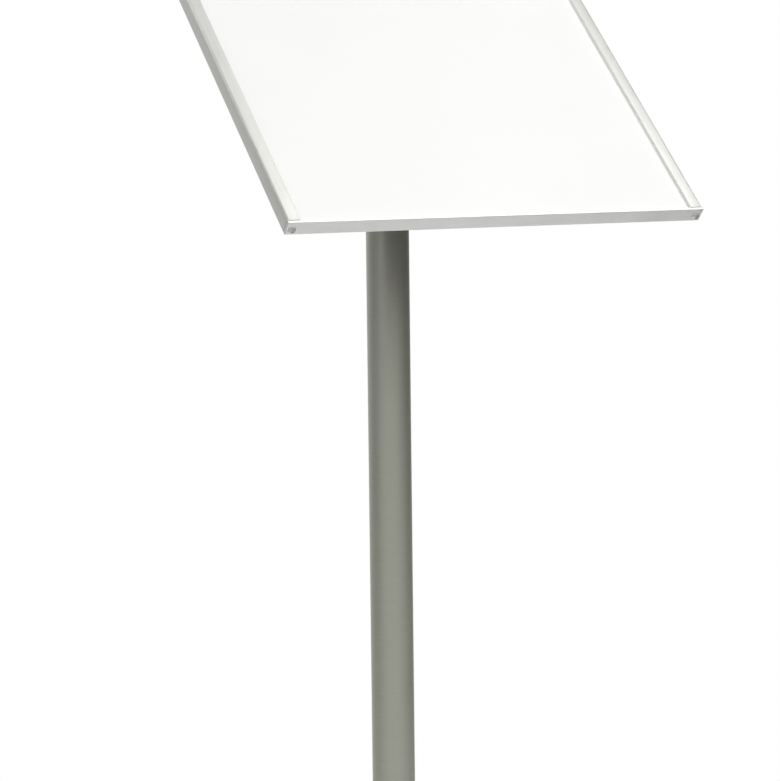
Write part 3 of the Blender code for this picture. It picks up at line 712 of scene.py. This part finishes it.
# Studio: a grey room with a white backdrop behind the post, as the camera sees it, and a round pale floor.
# Directions are in degrees, from the reader's side at -Y round towards +X, and up from the horizon.
BACKDROP = 180 + CAMERA_AZIMUTH
BACKDROP_REACH = (19, 45)  # white as far as the first angle, and none of it from the second on
WALLS = {
    -180: "#F3F3F3", -130: "#808080", -105: "#5A5A5A", -75: "#A0A0A0", -45: "#787878",
    0: "#686868", 60: "#646464", 90: "#5C5C5C", 135: "#6C6C6C", 180: "#F3F3F3",
}
WALL_TOP = (10, 40)  # the walls end in the ceiling between these heights
CEILING = "#7A7A7A"
WHITE = "#FFFFFF"
FLOOR = "#F4F4F2"
FLOOR_ROUGHNESS = 0.8
FLOOR_RADIUS = 0.95
FLOOR_DROP = 0.0002  # the floor lies this far under the rubber pad

# Lamps: direction round and up, distance, width and height, and level
LIT_POINT = Vector((0, 0, 0.9))
LAMPS = {
    "front_lamp": (2, 22, 2.6, (3.2, 1.6), 0.145),
    "high_front_lamp": (12, 34, 2.6, (2.8, 2.0), 0.355),
    "top_lamp": (60, 58, 2.4, (1.2, 1.2), 0.205),
    "overhead_lamp": (20, 70, 2.4, (1.6, 1.6), 0.09),
    "left_lamp": (-45, 22, 2.6, (1.6, 1.2), 0.13),
    "edge_lamp": (-62, 0, 2.4, (0.5, 1.2), 0.04),
    "rear_lamp": (-160, 45, 2.6, (2.4, 2.4), 0.7),
}


def towards(azimuth, elevation):
    """Unit vector from the post in this direction."""
    azimuth, elevation = math.radians(azimuth), math.radians(elevation)
    level = math.cos(elevation)
    return Vector((math.sin(azimuth) * level, -math.cos(azimuth) * level, math.sin(elevation)))


def build_camera():
    azimuth, roll = math.radians(CAMERA_AZIMUTH), math.radians(CAMERA_ROLL)
    back = towards(CAMERA_AZIMUTH, CAMERA_ELEVATION)
    right = Vector((math.cos(azimuth), math.sin(azimuth), 0))
    up = back.cross(right)
    across = math.cos(roll) * right + math.sin(roll) * up
    upright = math.cos(roll) * up - math.sin(roll) * right
    camera = bpy.data.objects.new("camera", bpy.data.cameras.new("camera"))
    bpy.context.scene.collection.objects.link(camera)
    camera.data.lens = CAMERA_LENS
    camera.data.clip_start, camera.data.clip_end = CAMERA_REACH
    turn = Matrix((across, upright, back)).transposed()
    camera.matrix_world = Matrix.Translation(CAMERA_PLACE) @ turn.to_4x4()
    bpy.context.scene.camera = camera


def faded(tree, value, start, end):
    """From 0 to 1 as the value runs from start to end."""
    limits = {"Value": value, "From Min": start, "From Max": end}
    return add(tree, "ShaderNodeMapRange", limits, interpolation_type="SMOOTHSTEP").outputs[0]


def build_room():
    world = bpy.data.worlds.new("studio")
    bpy.context.scene.world = world
    world.use_nodes = True
    tree = world.node_tree
    direction = add(tree, "ShaderNodeTexCoord").outputs["Generated"]
    parts = add(tree, "ShaderNodeSeparateXYZ", {0: direction}).outputs
    azimuth = maths(tree, "ARCTAN2", parts["X"], maths(tree, "MULTIPLY", parts["Y"], -1.0))
    limits = {"Value": azimuth, "From Min": -math.pi, "From Max": math.pi}
    around = add(tree, "ShaderNodeMapRange", limits).outputs[0]
    walls = add(tree, "ShaderNodeValToRGB", {"Fac": around})
    stops = walls.color_ramp.elements
    first, *between, last = [((turn + 180) / 360, srgb(colour)) for turn, colour in WALLS.items()]
    stops[0].position, stops[0].color = first
    stops[-1].position, stops[-1].color = last
    for place, colour in between:
        stops.new(place).color = colour
    start, end = (math.sin(math.radians(height)) for height in WALL_TOP)
    above = faded(tree, parts["Z"], start, end)
    room = {0: above, 6: walls.outputs[0], 7: srgb(CEILING)}
    room = add(tree, "ShaderNodeMix", room, data_type="RGBA").outputs[2]
    aim = {0: direction, 1: towards(BACKDROP, 0)}
    aim = add(tree, "ShaderNodeVectorMath", aim, operation="DOT_PRODUCT").outputs["Value"]
    end, start = (math.cos(math.radians(angle)) for angle in BACKDROP_REACH)
    room = {0: faded(tree, aim, start, end), 6: room, 7: srgb(WHITE)}
    room = add(tree, "ShaderNodeMix", room, data_type="RGBA").outputs[2]
    tree.links.new(room, tree.nodes["Background"].inputs["Color"])


def build_floor():
    mesh = bpy.data.meshes.new("floor")
    level = CAD_BOX[0].z - FLOOR_DROP
    rim = [(x, y, level) for x, y in circle((0, 0), FLOOR_RADIUS, TURN_STEPS)]
    mesh.from_pydata(rim, [], [range(len(rim))])
    floor = bpy.data.objects.new("studio_floor", mesh)
    bpy.context.scene.collection.objects.link(floor)
    mesh.materials.append(new_finish("studio_floor", FLOOR, 0.0, FLOOR_ROUGHNESS)[0])


def build_lamps():
    """Soft lamps that look at the panel. A level is the light on a face turned to its lamp."""
    for name, (azimuth, elevation, distance, size, level) in LAMPS.items():
        lamp = bpy.data.lights.new(name, "AREA")
        lamp.shape = "RECTANGLE"
        lamp.size, lamp.size_y = size
        lamp.energy = level * math.pi**2 * distance**2
        made = bpy.data.objects.new(name, lamp)
        bpy.context.scene.collection.objects.link(made)
        away = towards(azimuth, elevation)
        turn = away.to_track_quat("Z", "Y").to_matrix().to_4x4()
        made.matrix_world = Matrix.Translation(LIT_POINT + away * distance) @ turn
        made.visible_camera = False


build_rails()
build_strips()
build_bracket()
build_washers()
build_pivot()
build_head()
build_tube()
build_base()
build_plates()
build_camera()
build_room()
build_floor()
build_lamps()

bpy.context.scene.view_settings.view_transform = "Standard"
